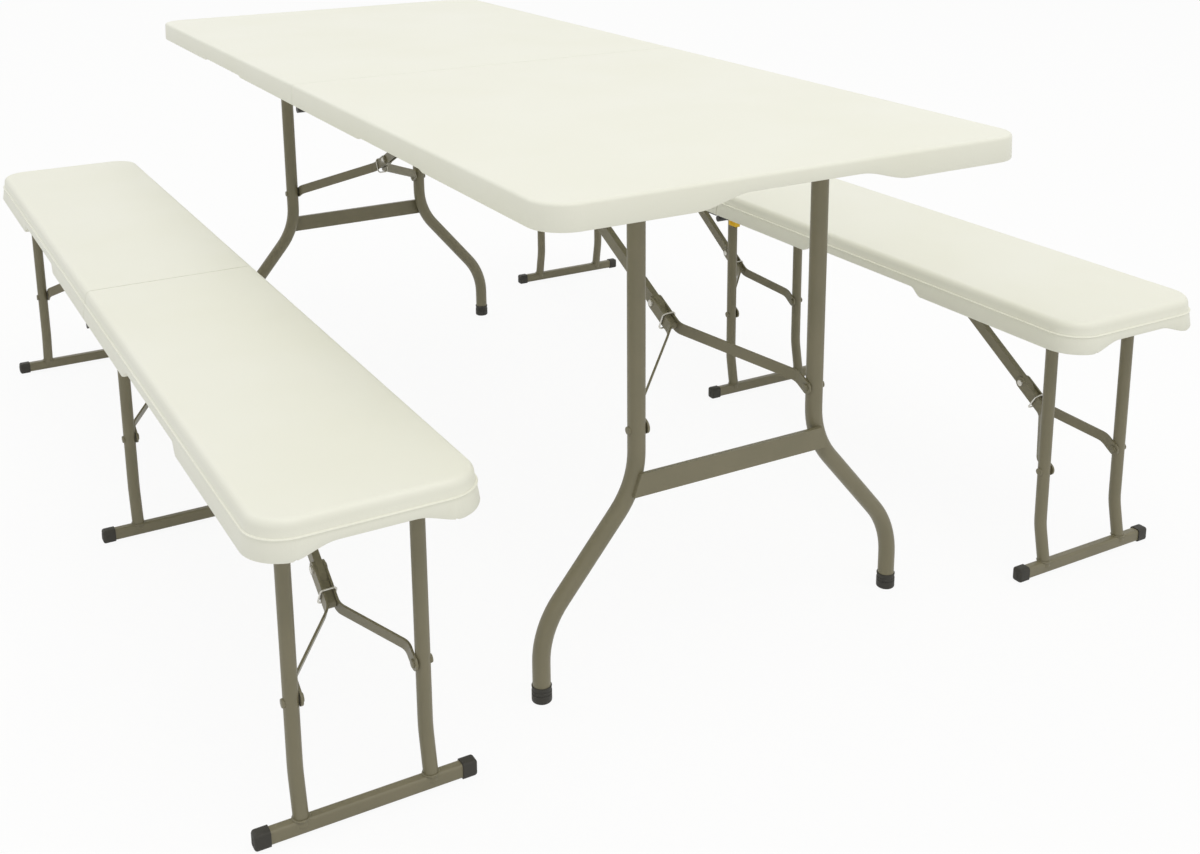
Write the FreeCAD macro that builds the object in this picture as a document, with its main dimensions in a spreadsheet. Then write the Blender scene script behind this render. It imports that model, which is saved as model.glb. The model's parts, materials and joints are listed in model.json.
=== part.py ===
import FreeCAD, Part
import math
import os
import re
import Sketcher

# Folding picnic set: one fold-in-half table and two fold-in-half benches, all in mm, +Z up.
# +X runs along the table towards its near end, +Y to the right-hand bench, the floor is z = 0.

doc = FreeCAD.newDocument("picnic_set")
sheet = doc.addObject("Spreadsheet::Sheet", "sizes")
sheet.Label = "sizes"

# Driving dimensions, then the cells worked out from them.
driving = [
    ("table_length", 1800), ("table_width", 740), ("table_height", 740),
    ("table_skirt", 35), ("table_slab", 14), ("table_wall", 14), ("table_corner", 60), ("table_crown", 5),
    ("table_lip", 4), ("table_flare", 1.5),
    ("table_arch_low", 165), ("table_arch_ease", 75), ("table_arch_rise", 15),
    ("table_recess_in", 299), ("table_recess_out", 547), ("table_recess_ease", 14), ("table_recess_rise", 3),
    ("table_leg_inset", 168), ("table_leg_half", 150), ("table_foot_half", 300), ("table_tube", 25),
    ("table_bar_tube", 26), ("table_pivot_drop", 16), ("table_pivot_over", 29.5), ("table_saddle_inset", 15),
    ("table_saddle_width", 20), ("table_bend_top", 330), ("table_bend_low", 57), ("table_bend_radius", 130),
    ("table_cross_height", 287), ("table_cross_depth", 32), ("table_cross_thick", 7),
    ("table_cross_bite", 1),
    ("table_brace_height", 362), ("table_link_seam", 40), ("table_link_depth", 20),
    ("table_hinge_inset", 26), ("table_hinge_width", 36), ("table_boss_inset", 52),
    ("table_foot_cap", 28), ("table_cap_height", 22), ("table_cap_floor", 3),
    ("bench_length", 1830), ("bench_width", 280), ("bench_height", 440),
    ("bench_skirt", 48), ("bench_slab", 18), ("bench_wall", 12), ("bench_corner", 55), ("bench_crown", 16),
    ("bench_lip", 4), ("bench_flare", 11),
    ("bench_arch_low", 104), ("bench_arch_ease", 46), ("bench_arch_rise", 13),
    ("bench_recess_in", 274), ("bench_recess_out", 622), ("bench_recess_ease", 22), ("bench_recess_rise", 12),
    ("bead_drop", 27), ("bead_height", 4), ("bead_out", 2.4), ("bead_round", 1.2),
    ("bench_leg_inset", 93), ("bench_far_inset", 43), ("bench_mid_x", 26), ("bench_leg_side", 57),
    ("bench_tube", 19),
    ("bench_bar_tube", 20), ("bench_pivot_drop", 15), ("bench_pivot_over", 20.5), ("bench_saddle_inset", 10),
    ("bench_saddle_width", 14), ("bench_kick_top", 78), ("bench_kick_radius", 120), ("bench_kick_out", 13),
    ("bench_brace_height", 168), ("bench_link_apart", 110), ("bench_link_depth", 18),
    ("bench_hinge_inset", 13), ("bench_hinge_width", 22), ("bench_boss_inset", 24),
    ("foot_bar_half", 141), ("foot_bar_high", 19), ("foot_bar_deep", 15), ("foot_bar_round", 4),
    ("foot_cap_long", 20), ("foot_cap_skin", 1.5), ("foot_cap_end", 2),
    ("seam_gap", 1.5), ("seam_rim", 8), ("boss_long", 46), ("tube_wall", 1.5),
    ("saddle_skin", 3), ("saddle_flange", 3), ("running_gap", 0.08), ("side_gap", 0.3),
    ("link_half", 5), ("link_skin", 2), ("tongue_long", 50), ("tongue_depth", 12), ("tongue_taper", 10),
    ("tongue_start", 12), ("arm_thick", 3), ("arm_width", 19), ("arm_plate", 58), ("arm_tab", 24),
    ("arm_bend", 18),
    ("pin_radius", 3), ("rivet_head", 5.5), ("rivet_rise", 2),
    ("ring_wire", 3), ("ring_seat", 37), ("ring_half", 15.5), ("ring_tall", 36), ("ring_round", 9),
    ("ring_play", 0.9),
    ("bracket_long", 24), ("bracket_skin", 2.5), ("bracket_plate", 2),
    ("hinge_leaf", 34), ("hinge_skin", 2.5), ("knuckle_radius", 6), ("hinge_pin", 3.5),
    ("latch_start", 40), ("latch_long", 24), ("latch_wide", 10), ("latch_high", 9), ("latch_slot", 12),
    ("stud_radius", 2.4), ("stud_head", 4.5), ("stud_rise", 2),
    ("table_shift_x", 10), ("table_shift_y", -20), ("bench_shift_x", 0), ("bench_spread", 605),
    ("overrun", 5),
]
worked_out = [
    ("arm_in", "link_half + side_gap + arm_thick / 2"),
    ("arm_half", "arm_thick / 2"),
    ("foot_bar_centre", "foot_cap_skin + foot_bar_high / 2"),
    ("table_leg_x", "table_length / 2 - table_leg_inset"),
    ("table_link_reach", "table_leg_x - table_link_seam"),
    ("bench_leg_x", "bench_length / 2 - bench_leg_inset"),
    ("bench_far_x", "bench_length / 2 - bench_far_inset"),
    ("bench_leg_half", "bench_width / 2 - bench_leg_side"),
    ("bench_link_reach", "(bench_far_x - bench_mid_x - bench_link_apart) / 2"),
    ("bead_inset", "bench_flare * (bench_skirt - bead_drop) / bench_skirt - bead_out"),
    ("table_splay", "table_foot_half - table_leg_half"),
    ("table_bend_fall", "table_bend_top - table_bend_low"),
    ("table_bend_turns", "2 * table_bend_radius"),
    ("table_bend_run",
     "sqrt((table_splay - table_bend_turns) ^ 2 + table_bend_fall ^ 2 - table_bend_turns ^ 2)"),
    ("table_bend_angle",
     "atan(table_bend_turns / table_bend_run) - atan((table_bend_turns - table_splay) / table_bend_fall)"),
    ("table_bend_dip", "table_bend_radius * sin(table_bend_angle)"),
    ("table_bend_shift", "table_bend_radius * (1 - cos(table_bend_angle))"),
]
for kind in ("table", "bench"):
    worked_out += [
        (kind + "_pivot_half", f"{kind}_leg_half + {kind}_tube / 2 + {kind}_pivot_over"),
        (kind + "_saddle_half", f"{kind}_pivot_half - {kind}_saddle_inset"),
        (kind + "_hinge_half", f"{kind}_width / 2 - {kind}_hinge_inset"),
        (kind + "_boss_half", f"{kind}_width / 2 - {kind}_boss_inset"),
        (kind + "_under", f"{kind}_height - {kind}_slab"),
        (kind + "_low", f"{kind}_height - {kind}_skirt"),
        (kind + "_pivot", f"{kind}_height - {kind}_slab - {kind}_pivot_drop"),
        (kind + "_drop", f"{kind}_pivot - {kind}_brace_height"),
        (kind + "_span", f"sqrt({kind}_link_reach ^ 2 + {kind}_drop ^ 2)"),
        (kind + "_slope", f"atan({kind}_drop / {kind}_link_reach)"),
        (kind + "_link", f"({kind}_span + {kind}_link_reach - {kind}_drop) / 2"),
        (kind + "_arm", f"({kind}_span - {kind}_link_reach + {kind}_drop) / 2"),
        (kind + "_arm_out", f"{kind}_leg_half - {kind}_tube / 2 - side_gap - arm_half"),
        (kind + "_arm_turn", f"atan(({kind}_arm_out - arm_in) / ({kind}_arm - arm_plate - arm_tab))"),
        (kind + "_bend_lead", f"arm_bend * tan({kind}_arm_turn / 2)"),
        (kind + "_hinge_z", f"{kind}_low - hinge_skin - knuckle_radius + hinge_skin / 2"),
    ]
row = 1
for alias, size in driving + worked_out:
    sheet.set(f"A{row}", alias)
    sheet.set(f"B{row}", f"={size}")
    sheet.setAlias(f"B{row}", alias)
    row += 1
doc.recompute()
aliases = {alias for alias, _ in driving + worked_out}


def value(expression):
    # The number that an expression in sheet aliases gives now.
    result = sheet.evalExpression(str(expression))
    return float(getattr(result, "Value", result))


def linked(expression):
    # The same expression with each alias named on the sheet, as setExpression needs it.
    def named(word):
        return "<<sizes>>." + word[0] if word[0] in aliases else word[0]
    return re.sub(r"[a-z][a-z_]*", named, str(expression))


def bind(thing, path, expression):
    thing.setExpression(path, linked(expression))


def place(thing, base, rotation=None):
    spot = FreeCAD.Vector(*[value(b) for b in base])
    thing.Placement = FreeCAD.Placement(spot, rotation or FreeCAD.Rotation())
    for axis, expression in zip("xyz", base):
        bind(thing, f"Placement.Base.{axis}", expression)
    return thing


origin = ("0", "0", "0")
x_axis = FreeCAD.Vector(1, 0, 0)
y_axis = FreeCAD.Vector(0, 1, 0)
z_axis = FreeCAD.Vector(0, 0, 1)
along_y = FreeCAD.Rotation(x_axis, -90)
planes = {
    "XY": FreeCAD.Rotation(),
    "XZ": FreeCAD.Rotation(x_axis, 90),
    "YZ": FreeCAD.Rotation(FreeCAD.Vector(1, 1, 1), 120),
}


def tangent_arc(a, b, heading):
    # The arc from a to b that leaves a along heading, and its heading at b.
    chord = b - a
    unit = FreeCAD.Vector(chord).normalize()
    lean = heading.dot(unit)
    side = (heading - unit * lean).normalize()
    rise = chord.Length / 2 * math.tan(math.acos(lean) / 2)
    return Part.Arc(a, (a + b) * 0.5 + side * rise, b), unit * (2 * lean) - heading


def outline(name, plane, points, arcs=(), closed=True, base=origin, body=None):
    # A sketch through points given as expressions. A segment numbered in arcs is an arc that
    # runs on from the segment before it, so its ends and that tangent fix it.
    owner = body.newObject if body else doc.addObject
    sketch = place(owner("Sketcher::SketchObject", name), base, planes[plane])
    spots = [FreeCAD.Vector(value(x), value(y), 0) for x, y in points]
    count = len(points) if closed else len(points) - 1
    heading = None
    ends = []
    for i in range(count):
        a = spots[i]
        b = spots[(i + 1) % len(spots)]
        if i in arcs:
            curve, heading = tangent_arc(a, b, heading)
        else:
            curve = Part.LineSegment(a, b)
            heading = (b - a).normalize()
        sketch.addGeometry(curve)
        first = sketch.getPoint(i, 1)
        ends.append((1, 2) if (first - a).Length < (first - b).Length else (2, 1))
    for i in range(count if closed else count - 1):
        j = (i + 1) % count
        kind = "Tangent" if j in arcs else "Coincident"
        sketch.addConstraint(Sketcher.Constraint(kind, i, ends[i][1], j, ends[j][0]))
    for i, spot in enumerate(points):
        segment, end = (i, ends[i][0]) if i < count else (count - 1, ends[-1][1])
        for axis, expression in zip("XY", spot):
            number = sketch.addConstraint(
                Sketcher.Constraint("Distance" + axis, -1, 1, segment, end, value(expression)))
            bind(sketch, f"Constraints[{number}]", expression)
    return sketch


def circle(name, plane, radius, base=origin):
    sketch = place(doc.addObject("Sketcher::SketchObject", name), base, planes[plane])
    sketch.addGeometry(Part.Circle(FreeCAD.Vector(), z_axis, value(radius)))
    sketch.addConstraint(Sketcher.Constraint("Coincident", 0, 3, -1, 1))
    number = sketch.addConstraint(Sketcher.Constraint("Radius", 0, value(radius)))
    bind(sketch, f"Constraints[{number}]", radius)
    return sketch


def rounded(name, plane, width, height, radius, base=origin):
    # A rectangle with round corners about the sketch's own origin.
    w, h = f"({width}) / 2", f"({height}) / 2"
    wi, hi = f"{w} - ({radius})", f"{h} - ({radius})"
    points = [(f"-({wi})", f"-{h}"), (wi, f"-{h}"), (w, f"-({hi})"), (w, hi),
              (wi, h), (f"-({wi})", h), (f"-{w}", hi), (f"-{w}", f"-({hi})")]
    return outline(name, plane, points, arcs=(1, 3, 5, 7), base=base)


def extruded(name, sketch, length, symmetric=False):
    solid = doc.addObject("Part::Extrusion", name)
    solid.Base = sketch
    solid.DirMode = "Normal"
    solid.Solid = True
    solid.Symmetric = symmetric
    bind(solid, "LengthFwd", length)
    return solid


def swept(name, section, spine):
    solid = doc.addObject("Part::Sweep", name)
    solid.Sections = [section]
    solid.Spine = (spine, [f"Edge{i + 1}" for i in range(spine.GeometryCount)])
    solid.Solid = True
    solid.Frenet = False
    return solid


def box(name, size, base):
    solid = place(doc.addObject("Part::Box", name), base)
    for side, expression in zip(("Length", "Width", "Height"), size):
        bind(solid, side, expression)
    return solid


def cylinder(name, radius, length, base, rotation=along_y):
    solid = place(doc.addObject("Part::Cylinder", name), base, rotation)
    bind(solid, "Radius", radius)
    bind(solid, "Height", length)
    return solid


def cut(name, base, tools):
    for i, tool in enumerate(tools):
        solid = doc.addObject("Part::Cut", f"{name}_{i}")
        solid.Base = base
        solid.Tool = tool
        base = solid
    return base


def fused(name, shapes):
    solid = doc.addObject("Part::MultiFuse", name)
    solid.Shapes = shapes
    solid.Refine = True
    return solid


def common(name, base, tool):
    solid = doc.addObject("Part::Common", name)
    solid.Base = base
    solid.Tool = tool
    return solid


def mirrored(name, source):
    solid = doc.addObject("Part::Mirroring", name)
    solid.Source = source
    solid.Normal = y_axis
    return solid


def group(name, shapes, base=origin, rotation=None):
    shapes = shapes if isinstance(shapes, list) else [shapes]
    holder = doc.addObject("Part::Compound", name)
    holder.Links = shapes
    return place(holder, base, rotation)


# Half panels: a moulded slab with a skirt, rounded at its outer end, mirrored across the seam by a half turn.

def panel_outline(name, kind, inset, level, body):
    # The half's plan, drawn in by inset all round except at the seam.
    far, side = f"{kind}_length / 2 - ({inset})", f"{kind}_width / 2 - ({inset})"
    turn = f"{kind}_corner - ({inset})"
    points = [("seam_gap / 2", f"-({side})"), (f"{far} - ({turn})", f"-({side})"),
              (far, f"-({side}) + {turn}"), (far, f"{side} - ({turn})"),
              (f"{far} - ({turn})", side), ("seam_gap / 2", side)]
    return outline(name, "XY", points, arcs=(1, 3), base=("0", "0", level), body=body)


def pad(body, name, sketch, length, downward=False):
    feature = body.newObject("PartDesign::Pad", name)
    feature.Profile = sketch
    feature.Reversed = downward
    bind(feature, "Length", length)
    return feature


def pocket(body, name, sketch, depth, upward=False, both_ways=False):
    feature = body.newObject("PartDesign::Pocket", name)
    feature.Profile = sketch
    feature.Reversed = upward
    feature.Midplane = both_ways
    bind(feature, "Length", depth)
    return feature


def leaning(base, kind, body):
    # Lean the end, the long sides and their corners in from the lower edge, but not the seam.
    walls, floor = [], []
    for i, face in enumerate(base.Shape.Faces):
        upright = face.BoundBox.ZLength > value(f"{kind}_skirt / 2")
        if upright and face.CenterOfMass.x > value("seam_gap"):
            walls.append(f"Face{i + 1}")
        elif not upright and face.CenterOfMass.z < value(f"{kind}_height - {kind}_skirt / 2"):
            floor.append(f"Face{i + 1}")
    feature = place(body.newObject("PartDesign::Draft", f"{kind}_lean"), ("0", "0", f"{kind}_height"))
    feature.Base = (base, walls)
    feature.NeutralPlane = (base, floor)
    bind(feature, "Angle", f"atan({kind}_flare / {kind}_skirt)")
    return feature


def rim_edges(shape, kind, low, high, inset=None):
    # The names of the level edges that follow the plan round the end and both long sides between two
    # heights, but not along the seam. They lie on the leaning wall, or inside the plan by inset.
    slope = value(f"{kind}_flare / {kind}_skirt")
    names = []
    for i, edge in enumerate(shape.Edges):
        spot = edge.valueAt((edge.FirstParameter + edge.LastParameter) / 2)
        inside = value(inset) if inset else slope * (spot.z - value(f"{kind}_low"))
        turn = value(f"{kind}_corner") - inside
        ahead = max(spot.x - value(f"{kind}_length / 2 - {kind}_corner"), 0)
        aside = max(abs(spot.y) - value(f"{kind}_width / 2 - {kind}_corner"), 0)
        reach = math.hypot(ahead, aside) if ahead and aside else max(ahead, aside)
        between = value(low) < spot.z < value(high)
        level = edge.BoundBox.ZLength < edge.BoundBox.DiagonalLength / 2
        if between and level and abs(reach - turn) < turn / 1000:
            names.append(f"Edge{i + 1}")
    return names


def rounding(body, name, base, edges, radius):
    feature = body.newObject("PartDesign::Fillet", name)
    feature.Base = (base, edges)
    bind(feature, "Radius", radius)
    return feature


def eased(right, left, ease, level, rise):
    # Points and arc numbers of a cut from below whose ends swing up in an S, tangent to the skirt's low edge.
    middle = f"{level} + {rise} / 2"
    points = [(f"{left} - overrun", f"{level} - overrun"), (f"{right} + overrun", f"{level} - overrun"),
              (f"{right} + overrun", level), (right, level), (f"{right} - {ease} / 2", middle),
              (f"{right} - {ease}", f"{level} + {rise}"), (f"{left} + {ease}", f"{level} + {rise}"),
              (f"{left} + {ease} / 2", middle), (left, level), (f"{left} - overrun", level)]
    return points, (3, 4, 6, 7)


def half_panel(kind, beaded):
    body = doc.addObject("PartDesign::Body", f"{kind}_half")
    top, low = f"{kind}_height", f"{kind}_low"
    plan = panel_outline(f"{kind}_plan", kind, "0", top, body)
    slab = pad(body, f"{kind}_slab_pad", plan, f"{kind}_skirt", True)
    doc.recompute()
    shell = leaning(slab, kind, body)
    doc.recompute()
    edges = rim_edges(shell.Shape, kind, f"{top} - overrun", f"{top} + overrun")
    rounding(body, f"{kind}_crown_round", shell, edges, f"{kind}_crown")
    if beaded:
        band = f"{top} - bead_drop"
        plan = panel_outline(f"{kind}_bead_plan", kind, "bead_inset", band, body)
        bead = pad(body, f"{kind}_bead", plan, "bead_height", True)
        doc.recompute()
        edges = rim_edges(bead.Shape, kind, f"{band} - overrun", f"{band} + overrun", "bead_inset")
        rounding(body, f"{kind}_bead_round", bead, edges, "bead_round")
    inside, start = f"{kind}_width / 2 - {kind}_wall", "seam_gap / 2 + seam_rim"
    boss, back = f"{kind}_boss_half", f"{kind}_length / 2 - {kind}_wall"
    turn = f"{kind}_corner - {kind}_wall"
    hollow = outline(f"{kind}_hollow_plan", "XY", [
        (start, f"-{boss}"), ("boss_long", f"-{boss}"), ("boss_long", f"-({inside})"),
        (f"{back} - ({turn})", f"-({inside})"), (back, f"-({inside}) + {turn}"),
        (back, f"{inside} - ({turn})"), (f"{back} - ({turn})", inside),
        ("boss_long", inside), ("boss_long", boss), (start, boss)],
        arcs=(3, 5), base=("0", "0", low), body=body)
    pocket(body, f"{kind}_hollow", hollow, f"{kind}_skirt - {kind}_slab", upward=True)
    points, bends = eased(f"{kind}_arch_low", f"-{kind}_arch_low", f"{kind}_arch_ease", low,
                          f"{kind}_arch_rise")
    spot = (f"{kind}_length / 2 + overrun", "0", "0")
    arch = outline(f"{kind}_arch_plan", "YZ", points, bends, base=spot, body=body)
    pocket(body, f"{kind}_arch", arch, f"{kind}_wall + 2 * overrun")
    points, bends = eased(f"{kind}_recess_out", f"{kind}_recess_in", f"{kind}_recess_ease", low,
                          f"{kind}_recess_rise")
    recess = outline(f"{kind}_recess_plan", "XZ", points, bends, body=body)
    last = pocket(body, f"{kind}_recess", recess, f"{kind}_width + 4 * overrun", both_ways=True)
    doc.recompute()
    edges = rim_edges(last.Shape, kind, f"{low} - overrun", f"{low} + {kind}_arch_rise + overrun")
    # one edge is enough, the round runs on from it along the whole smooth rim
    rounding(body, f"{kind}_lip_round", last, edges[:1], f"{kind}_lip")
    return body


# Leg frames stand in a unit frame: the pivot is over the origin, -X is the way the legs fold.

def leg_spread(level):
    # How far out the table's leg tube stands at a level: straight, then on its upper arc, then on its slope.
    fall = f"(table_bend_top - ({level}))"
    on_arc = f"min(max({fall}; 0 * table_tube); table_bend_dip)"
    on_slope = f"max({fall} - table_bend_dip; 0 * table_tube)"
    return (f"table_leg_half + table_bend_radius - sqrt(table_bend_radius ^ 2 - {on_arc} ^ 2)"
            f" + {on_slope} * tan(table_bend_angle)")


def table_legs():
    out, foot = "table_leg_half", "table_foot_half"
    path = outline("table_leg_path", "YZ", [
        (out, "table_pivot"), (out, "table_bend_top"),
        (f"{out} + table_bend_shift", "table_bend_top - table_bend_dip"),
        (f"{foot} - table_bend_shift", "table_bend_low + table_bend_dip"),
        (foot, "table_bend_low"), (foot, "table_cap_floor")], arcs=(1, 3), closed=False)
    start = ("0", out, "table_pivot")
    tube = hollow_tube("table", path, start)
    upper = "table_cross_height + table_cross_depth / 2"
    lower = "table_cross_height - table_cross_depth / 2"
    cross = extruded("table_cross", outline("table_cross_plan", "YZ", [
        (f"-({leg_spread(lower)})", lower), (leg_spread(lower), lower),
        (leg_spread(upper), upper), (f"-({leg_spread(upper)})", upper)],
        base=("table_tube / 2 - table_cross_bite", "0", "0")), "table_cross_thick")
    return fused("table_legs_weld", [tube, mirrored("table_tube_twin", tube), cross] + pivot_pieces("table"))


def hollow_tube(kind, path, start):
    outer = circle(f"{kind}_tube_ring", "XY", f"{kind}_tube / 2", start)
    inner = circle(f"{kind}_bore_ring", "XY", f"{kind}_tube / 2 - tube_wall", start)
    rod = swept(f"{kind}_tube_out", outer, path)
    bore = swept(f"{kind}_tube_bore", inner, path)
    return cut(f"{kind}_tube_solid", rod, [bore])


def pivot_pieces(kind):
    # The cross tube that turns under the top, and the outer rivet heads of the brace.
    bar = cylinder(f"{kind}_pivot_bar", f"{kind}_bar_tube / 2", f"2 * {kind}_pivot_half",
                   ("0", f"-{kind}_pivot_half", f"{kind}_pivot"))
    head = cylinder(f"{kind}_outer_rivet", "rivet_head", "rivet_head + rivet_rise",
                    ("0", f"{kind}_leg_half + {kind}_tube / 2 - rivet_head", f"{kind}_brace_height"))
    return [bar, head, mirrored(f"{kind}_outer_rivet_twin", head)]


def bench_legs():
    kick = "bench_kick_out"
    # The kick is an arc and the straight that runs on from it, down to the foot bar's centre.
    tall = "(bench_kick_top - foot_bar_centre)"
    half_turn = f"atan({kick} / {tall}) / 2"
    bow = f"bench_kick_radius * tan({half_turn})"
    lean = f"(2 * {half_turn})"
    path = outline("bench_leg_path", "XZ", [
        ("0", "bench_pivot"), ("0", f"bench_kick_top + {bow}"),
        (f"{bow} * sin({lean})", f"bench_kick_top - {bow} * cos({lean})"), (kick, "foot_bar_centre")],
        arcs=(1,), closed=False, base=("0", "bench_leg_half", "0"))
    tube = hollow_tube("bench", path, ("0", "bench_leg_half", "bench_pivot"))
    spot = (kick, "0", "foot_bar_centre")
    plan = rounded("foot_bar_plan", "XZ", "foot_bar_deep", "foot_bar_high", "foot_bar_round", spot)
    bar = extruded("foot_bar", plan, "2 * foot_bar_half", symmetric=True)
    return fused("bench_legs_weld", [tube, mirrored("bench_tube_twin", tube), bar] + pivot_pieces("bench"))


def table_feet():
    # A rubber cup on each tube end, turned from its half section.
    out, inner, edge = "table_foot_cap / 2", "table_tube / 2", "(table_foot_cap - table_tube) / 2"
    section = outline("table_cap_section", "XZ", [
        ("0", "0"), (f"{out} - {edge}", "0"), (out, edge), (out, "table_cap_height"),
        (inner, "table_cap_height"), (inner, "table_cap_floor"), ("0", "table_cap_floor")], arcs=(1,))
    cap = doc.addObject("Part::Revolution", "table_cap")
    cap.Source = section
    cap.Axis = z_axis
    cap.Angle = 360
    cap.Solid = True
    return [group("table_cap_right", cap, ("0", "table_foot_half", "0")),
            group("table_cap_left", cap, ("0", "-table_foot_half", "0"))]


def bench_feet():
    skin, mouth = "2 * foot_cap_skin", "-(foot_bar_half + foot_cap_end - foot_cap_long)"
    spot = ("bench_kick_out", mouth, "foot_bar_centre")
    outside = rounded("foot_cap_plan", "XZ", f"foot_bar_deep + {skin}", f"foot_bar_high + {skin}",
                      "foot_bar_round + foot_cap_skin", spot)
    shell = extruded("foot_cap_shell", outside, "foot_cap_long")
    inside = rounded("foot_room_plan", "XZ", "foot_bar_deep", "foot_bar_high", "foot_bar_round", spot)
    room = extruded("foot_cap_room", inside, "foot_cap_long - foot_cap_end")
    cap = cut("foot_cap", shell, [room])
    return [cap, mirrored("foot_cap_twin", cap)]


# The brace lies in a link frame: its upper pivot is the origin and it runs along +X to the legs.

def brace_link(kind):
    reach, half = f"{kind}_link", f"{kind}_link_depth / 2"
    taper, end, thin = f"{reach} + tongue_start + tongue_taper", f"{reach} + tongue_long", "tongue_depth / 2"
    plan = outline(f"{kind}_link_plan", "XZ", [
        (f"{reach} + tongue_start", half), ("0", half), ("0", f"-{half}"),
        (f"{reach} + tongue_start", f"-{half}"), (taper, f"-{thin}"),
        (end, f"-{thin}"), (end, thin), (taper, thin)], arcs=(1, 5))
    bar = extruded(f"{kind}_link_bar", plan, "2 * link_half", symmetric=True)
    room = "link_half - link_skin"
    channel = box(f"{kind}_link_channel",
                  (f"{reach} - 4 * rivet_head", f"2 * ({room})", f"{kind}_link_depth"),
                  ("2 * rivet_head", f"-({room})", f"-{half} - link_skin"))
    holes = [cylinder(f"{kind}_link_hole_{i}", "pin_radius + running_gap", "2 * (link_half + overrun)",
                      (x, "-(link_half + overrun)", "0")) for i, x in enumerate(("0", reach))]
    return cut(f"{kind}_link_solid", bar, [channel] + holes)


def brace_arms(kind):
    joint, foot, half = f"{kind}_link", f"{kind}_link + {kind}_arm", "arm_width / 2"
    near, far, lead = "arm_in", f"{kind}_arm_out", f"{kind}_bend_lead"
    bend, tab = f"{joint} + arm_plate", f"{foot} - arm_tab"
    ahead, aside = f"cos({kind}_arm_turn)", f"sin({kind}_arm_turn)"
    start, end = f"{joint} - {half}", f"{foot} + {half}"
    run, rise = f"{lead} * {ahead}", f"{lead} * {aside}"
    back, over = f"arm_half * {aside}", f"arm_half * {ahead}"
    plan = outline(f"{kind}_arm_plan", "XY", [
        (start, f"{near} - arm_half"), (f"{bend} - {lead}", f"{near} - arm_half"),
        (f"{bend} + {run} + {back}", f"{near} + {rise} - {over}"),
        (f"{tab} - {run} + {back}", f"{far} - {rise} - {over}"),
        (f"{tab} + {lead}", f"{far} - arm_half"), (end, f"{far} - arm_half"),
        (end, f"{far} + arm_half"), (f"{tab} + {lead}", f"{far} + arm_half"),
        (f"{tab} - {run} - {back}", f"{far} - {rise} + {over}"),
        (f"{bend} + {run} - {back}", f"{near} + {rise} + {over}"),
        (f"{bend} - {lead}", f"{near} + arm_half"), (start, f"{near} + arm_half")], arcs=(1, 3, 7, 9))
    strip = extruded(f"{kind}_arm_strip", plan, "arm_width", symmetric=True)
    side = outline(f"{kind}_arm_side", "XZ", [
        (joint, f"-{half}"), (foot, f"-{half}"), (foot, half), (joint, half)], arcs=(1, 3))
    ends = extruded(f"{kind}_arm_ends", side, f"2 * {kind}_leg_half", symmetric=True)
    shaped = common(f"{kind}_arm_shape", strip, ends)
    spot = (joint, f"-{kind}_leg_half", "0")
    hole = cylinder(f"{kind}_arm_hole", "pin_radius", f"2 * {kind}_leg_half", spot)
    arm = cut(f"{kind}_arm_solid", shaped, [hole])
    grip = "arm_in + arm_half"
    shaft = cylinder(f"{kind}_rivet_shaft", "pin_radius", f"2 * ({grip})", (joint, f"-({grip})", "0"))
    head = cylinder(f"{kind}_rivet_head", "rivet_head", "rivet_rise", (joint, grip, "0"))
    rivet = fused(f"{kind}_rivet", [shaft, head, mirrored(f"{kind}_rivet_head_twin", head)])
    spot = (foot, f"{far} - arm_half - rivet_rise", "0")
    inner = cylinder(f"{kind}_inner_rivet", "rivet_head", "rivet_rise", spot)
    return [arm, mirrored(f"{kind}_arm_twin", arm), rivet, inner, mirrored(f"{kind}_inner_rivet_twin", inner)]


def lock_ring(kind):
    # A wire loop that hangs by its top wire on the link and holds the two arms to the tongue.
    wire = "ring_wire / 2"
    top = f"arm_width / 2 + ring_play + {wire}"
    seat = f"{kind}_link + ring_seat"
    path = rounded(f"{kind}_ring_path", "YZ", "2 * ring_half", "ring_tall + ring_wire", "ring_round",
                   (seat, "0", f"{top} - (ring_tall + ring_wire) / 2"))
    low = f"{top} - (ring_tall + ring_wire)"
    section = circle(f"{kind}_ring_section", "XZ", wire, (seat, "ring_round - ring_half", low))
    return swept(f"{kind}_ring_wire", section, path)


# Fittings on the underside: saddles over the pivot bar, the link's bracket, seam hinges and the bench latch.

def saddle(kind):
    bore, skin = f"{kind}_bar_tube / 2 + running_gap", "saddle_skin"
    out, foot = f"{bore} + {skin}", f"{bore} + {skin} + saddle_flange"
    under, axis = f"{kind}_under", f"{kind}_pivot"
    flange = f"{under} - {skin} / 2"
    plan = outline(f"{kind}_saddle_plan", "XZ", [
        (f"-({foot})", under), (f"-({foot})", flange), (f"-({out})", flange), (f"-({out})", axis),
        (out, axis), (out, flange), (foot, flange), (foot, under)],
        arcs=(3,), base=("0", f"{kind}_saddle_half", "0"))
    block = extruded(f"{kind}_saddle_block", plan, f"{kind}_saddle_width", symmetric=True)
    spot = ("0", f"-{kind}_pivot_half", axis)
    tunnel = cylinder(f"{kind}_saddle_tunnel", bore, f"2 * {kind}_pivot_half", spot)
    strap = cut(f"{kind}_saddle", block, [tunnel])
    return [strap, mirrored(f"{kind}_saddle_twin", strap)]


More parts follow.
